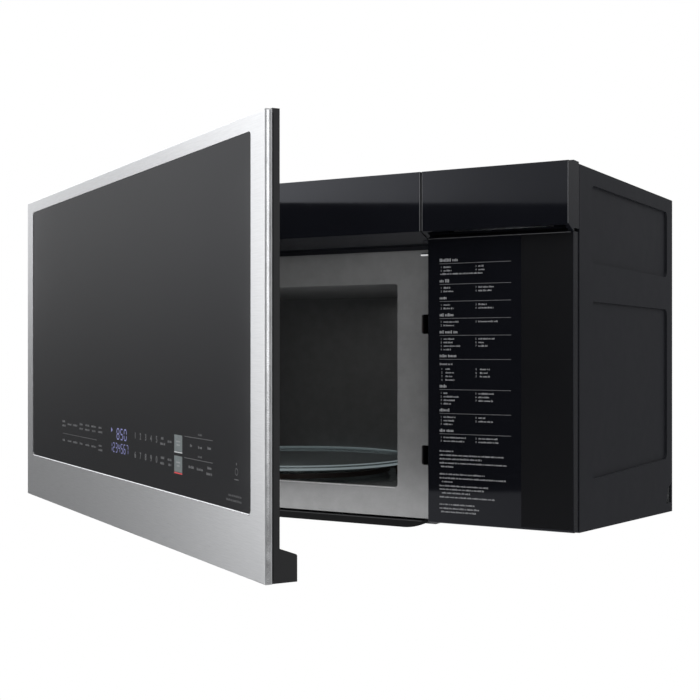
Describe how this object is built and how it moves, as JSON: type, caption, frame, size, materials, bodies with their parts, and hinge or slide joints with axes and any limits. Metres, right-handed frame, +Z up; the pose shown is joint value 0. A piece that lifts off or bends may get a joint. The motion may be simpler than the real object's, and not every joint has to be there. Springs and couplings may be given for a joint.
{
  "type": "over-the-range microwave oven",
  "caption": "Wall-hung microwave oven with a full-width framed glass door held ajar, dark oven cavity with glass turntable, vent covers above and a sloping vented underside.",
  "frame": {"origin": "on the wall, at the middle of the wall plate's rear face, in the body's centre plane and halfway up the body's rear height", "axes": "+X to the right seen from the front, +Y into the wall, +Z up"},
  "size_m": [0.7777, 0.794, 0.4201],
  "materials": {
    "belly_metal": "satin black paint",
    "black_gloss": "gloss black",
    "black_matte": "matte black",
    "brushed_steel": "horizontally brushed",
    "can_aluminium": "plain",
    "case_paint": "satin black paint",
    "charcoal": "charcoal pad in a frame",
    "circuit_board": "coated circuit board",
    "clear_glass": "clear",
    "core_iron": "laminated iron",
    "door_glass_black": "black-printed glass",
    "door_plastic": "satin black",
    "enamel_cavity": "speckled charcoal enamel",
    "enamel_front": "speckled grey enamel",
    "filter_aluminium": "layered mesh",
    "frosted_lens": "frosted",
    "galvanised": "galvanised sheet",
    "grey_plastic": "moulded grey",
    "mica": "mica sheet",
    "red_plastic": "moulded red",
    "ring_plastic": "moulded dark brown",
    "screen_black": "perforated, black enamel",
    "spring_steel": "bright wire",
    "tray_glass": "clear pressed glass",
    "white_plastic": "moulded white",
    "zinc": "zinc-plated"
  },
  "bodies": {
    "chassis": {"side_panel_left": "case_paint", "side_panel_right": "case_paint", "top_plate": "galvanised", "rear_plate": "galvanised", "base_pan": "case_paint", "cavity_front_plate": "enamel_front", "cavity_box": "enamel_cavity", "outlet_panel": "case_paint", "vent_cover_left": "black_gloss", "vent_cover_right": "black_gloss", "guide_panel": "black_gloss", "charcoal_filter": "charcoal", "wall_mounting_plate": "galvanised", "hinge_brackets": "zinc", "cord_bushing": "black_matte", "waveguide": "galvanised", "waveguide_cover": "mica", "magnetron": "zinc", "high_voltage_transformer": "core_iron", "high_voltage_capacitor": "can_aluminium", "control_power_board": "circuit_board", "turntable_motor": "zinc", "blower_housing": "galvanised", "blower_motor": "zinc", "cooling_fan_shroud": "grey_plastic", "cooling_fan_motor": "core_iron", "cavity_lamp": "white_plastic", "latch_board": "black_matte", "interlock_switches": "black_matte", "thermal_cutouts": "zinc", "cooktop_lamp_lens": "frosted_lens", "cooktop_led_board": "circuit_board", "visor_rails": "grey_plastic", "chassis_screws": "zinc"},
    "door": {"door_skin": "brushed_steel", "door_glass": "door_glass_black", "door_back_frame": "door_plastic", "choke_frame": "enamel_front", "choke_cover": "door_plastic", "window_screen": "screen_black", "inner_window": "clear_glass", "handle_rail": "door_plastic", "door_hinge_arms": "zinc", "latch_spring": "spring_steel", "touch_board": "circuit_board", "display_module": "black_matte"},
    "latch_bar": {"latch_hooks": "black_matte"},
    "turntable_drive_shaft": {"drive_coupler": "white_plastic"},
    "tray": {"glass_tray": "tray_glass"},
    "roller_carrier": {"roller_ring": "ring_plastic"},
    "roller_a": {"roller_1": "ring_plastic"},
    "roller_b": {"roller_2": "ring_plastic"},
    "roller_c": {"roller_3": "ring_plastic"},
    "blower_rotor": {"blower_wheels": "black_matte", "blower_shaft": "zinc"},
    "cooling_fan": {"cooling_fan_blade": "grey_plastic"},
    "filter_left": {"grease_filter_left": "filter_aluminium"},
    "filter_right": {"grease_filter_right": "filter_aluminium"},
    "visor": {"vent_visor": "belly_metal"},
    "plungers": {"switch_plungers": "red_plastic"}
  },
  "joints": [
    {"name": "door_hinge", "type": "hinge", "parent": "chassis", "child": "door", "pos_m": [-0.3615, -0.3797, 0], "axis": [0, 0, -1], "range_deg": [-30.7, 69.3]},
    {"name": "latch_slide", "type": "slide", "parent": "door", "child": "latch_bar", "axis": [0, 0, 1], "range_m": [0, 0.004], "stiffness_N_per_m": 300, "springref_m": -0.004, "deforming": ["latch_spring"]},
    {"name": "turntable_drive", "type": "hinge", "parent": "chassis", "child": "turntable_drive_shaft", "pos_m": [-0.09385, -0.202, -0.14705], "axis": [0, 0, 1], "continuous": true},
    {"name": "tray_lift", "type": "slide", "parent": "turntable_drive_shaft", "child": "tray", "axis": [0, 0, 1], "range_m": [0, 0.025]},
    {"name": "roller_ring_spin", "type": "hinge", "parent": "chassis", "child": "roller_carrier", "pos_m": [-0.09385, -0.202, -0.1549], "axis": [0, 0, 1], "continuous": true},
    {"name": "roller_a_spin", "type": "hinge", "parent": "roller_carrier", "child": "roller_a", "pos_m": [-0.09385, -0.346, -0.1549], "axis": [0, -1, 0], "continuous": true},
    {"name": "roller_b_spin", "type": "hinge", "parent": "roller_carrier", "child": "roller_b", "pos_m": [0.03086, -0.13, -0.1549], "axis": [0.866, 0.5, 0], "continuous": true},
    {"name": "roller_c_spin", "type": "hinge", "parent": "roller_carrier", "child": "roller_c", "pos_m": [-0.21856, -0.13, -0.1549], "axis": [-0.866, 0.5, 0], "continuous": true},
    {"name": "blower_spin", "type": "hinge", "parent": "chassis", "child": "blower_rotor", "pos_m": [0, -0.082, 0.14695], "axis": [1, 0, 0], "continuous": true},
    {"name": "cooling_fan_spin", "type": "hinge", "parent": "chassis", "child": "cooling_fan", "pos_m": [0.268, -0.052, 0.04595], "axis": [0, 1, 0], "continuous": true},
    {"name": "filter_left_release", "type": "slide", "parent": "chassis", "child": "filter_left", "axis": [-1, 0, 0], "range_m": [0, 0.005]},
    {"name": "filter_right_release", "type": "slide", "parent": "chassis", "child": "filter_right", "axis": [1, 0, 0], "range_m": [0, 0.005]},
    {"name": "visor_pull", "type": "slide", "parent": "chassis", "child": "visor", "axis": [0, -1, 0], "range_m": [0, 0.1]},
    {"name": "plunger_press", "type": "slide", "parent": "chassis", "child": "plungers", "axis": [0, 1, 0], "range_m": [0, 0.0012], "stiffness_N_per_m": 400, "springref_m": -0.001}
  ],
  "couplings": [
    {"joint": "roller_ring_spin", "follows": "turntable_drive", "ratio": 0.5},
    {"joint": "roller_a_spin", "follows": "turntable_drive", "ratio": -9.172},
    {"joint": "roller_b_spin", "follows": "turntable_drive", "ratio": -9.172},
    {"joint": "roller_c_spin", "follows": "turntable_drive", "ratio": -9.172}
  ]
}
